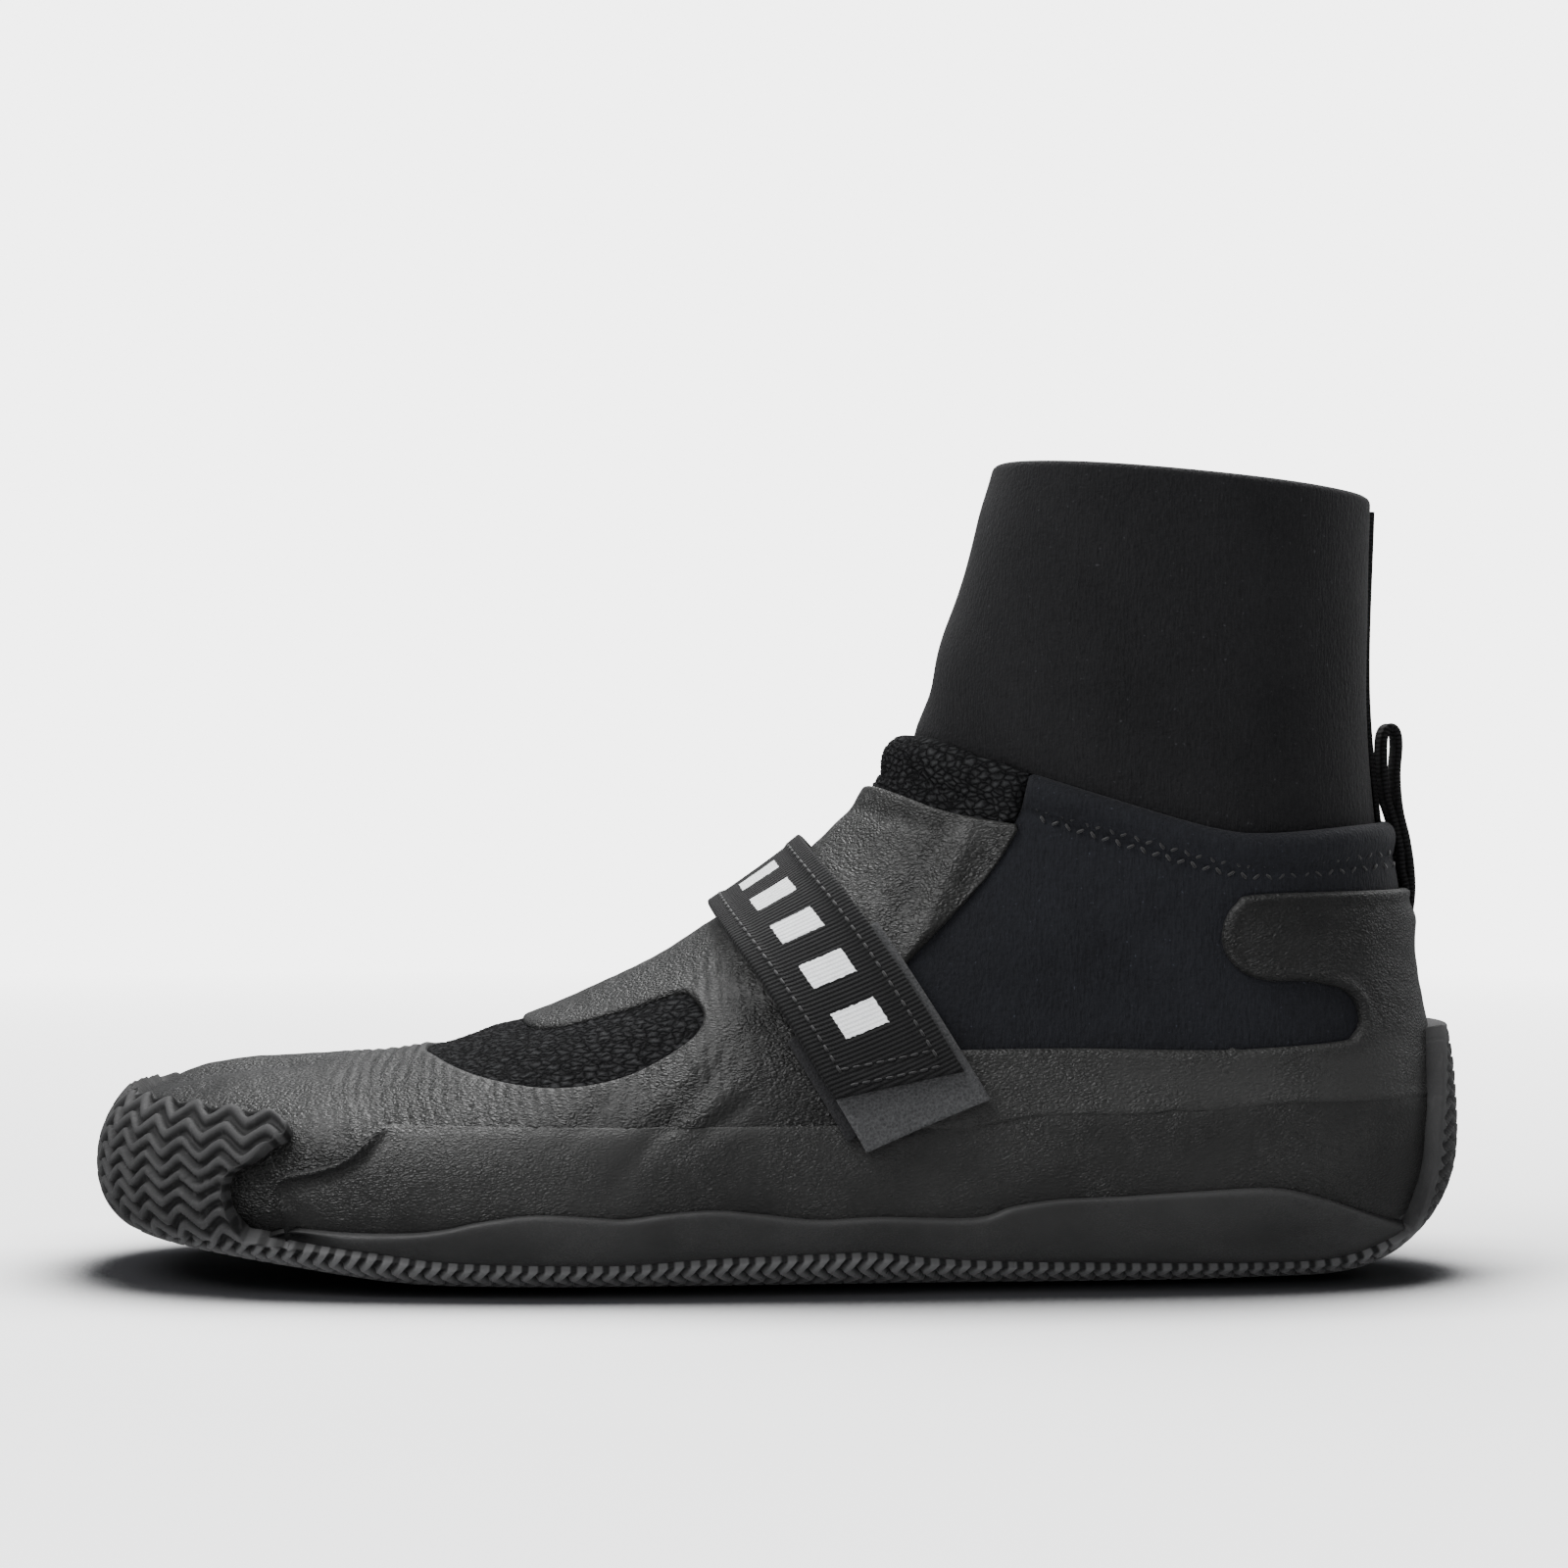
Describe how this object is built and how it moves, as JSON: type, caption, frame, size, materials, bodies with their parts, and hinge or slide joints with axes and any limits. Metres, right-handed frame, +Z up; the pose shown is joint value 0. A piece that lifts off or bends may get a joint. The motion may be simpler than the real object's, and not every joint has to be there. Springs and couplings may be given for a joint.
{
  "type": "neoprene water sports boot",
  "caption": "Ankle-height neoprene boot with a rubber sole, toe and heel bumpers, knit toe window, instep strap and heel pull loop.",
  "frame": {"origin": "on the ground, at the middle of the boot's overall length and width", "axes": "+X from toe to heel, +Z up, the lateral side of this left boot faces -Y"},
  "size_m": [0.285, 0.1, 0.168],
  "materials": {
    "cuff_jersey": "matt knitted jersey over neoprene",
    "neoprene": "smooth jersey-faced neoprene, matt",
    "stretch_knit": "coarse stretch knit",
    "overlay_rubber": "thin rubber skin, fine wrinkle grain, soft sheen",
    "band_rubber": "fine-grained rubber, satin",
    "sole_rubber": "matt moulded rubber with herringbone ribs",
    "webbing": "grosgrain woven webbing",
    "hook_and_loop": "hook-and-loop pad, fine pile",
    "foam": "cloth-faced foam footbed"
  },
  "bodies": {
    "boot": {"inner_sock": "neoprene", "footbed": "foam", "knit_upper": "stretch_knit", "quarter_lateral": "neoprene", "quarter_medial": "neoprene", "vamp_overlay": "overlay_rubber", "heel_counter_overlay": "overlay_rubber", "side_band_lateral": "band_rubber", "side_band_medial": "band_rubber", "midsole": "sole_rubber", "outsole": "sole_rubber", "rand_lateral": "sole_rubber", "rand_medial": "sole_rubber", "strap_anchor": "webbing", "strap_loop_pad": "hook_and_loop"},
    "cuff": {"ankle_cuff": "cuff_jersey", "cuff_seam_tape": "cuff_jersey"},
    "strap_base": {"strap_base": "webbing"},
    "strap_end": {"strap_end": "webbing", "strap_hook_pad": "hook_and_loop"},
    "pull_loop": {"heel_pull_loop": "webbing"}
  },
  "joints": [
    {"name": "ankle_flex", "type": "hinge", "parent": "boot", "child": "cuff", "pos_m": [0.07375, 0, 0.0608], "axis": [0, 1, 0], "range_deg": [-12, 10], "stiffness_Nm_per_rad": 0.5},
    {"name": "strap_base_peel", "type": "hinge", "parent": "boot", "child": "strap_base", "pos_m": [0.0214, 0.0384, 0.0446], "axis": [-0.8367, 0.1386, -0.5298], "range_deg": [0, 95], "stiffness_Nm_per_rad": 0.01},
    {"name": "strap_end_peel", "type": "hinge", "parent": "strap_base", "child": "strap_end", "pos_m": [-0.0043, 0.00257, 0.0851], "axis": [-0.7995, 0, -0.6007], "range_deg": [0, 150], "stiffness_Nm_per_rad": 0.01},
    {"name": "pull_loop_swing", "type": "hinge", "parent": "boot", "child": "pull_loop", "pos_m": [0.1331, 0, 0.0842], "axis": [0, 1, 0], "range_deg": [0, 95], "stiffness_Nm_per_rad": 0.005}
  ]
}
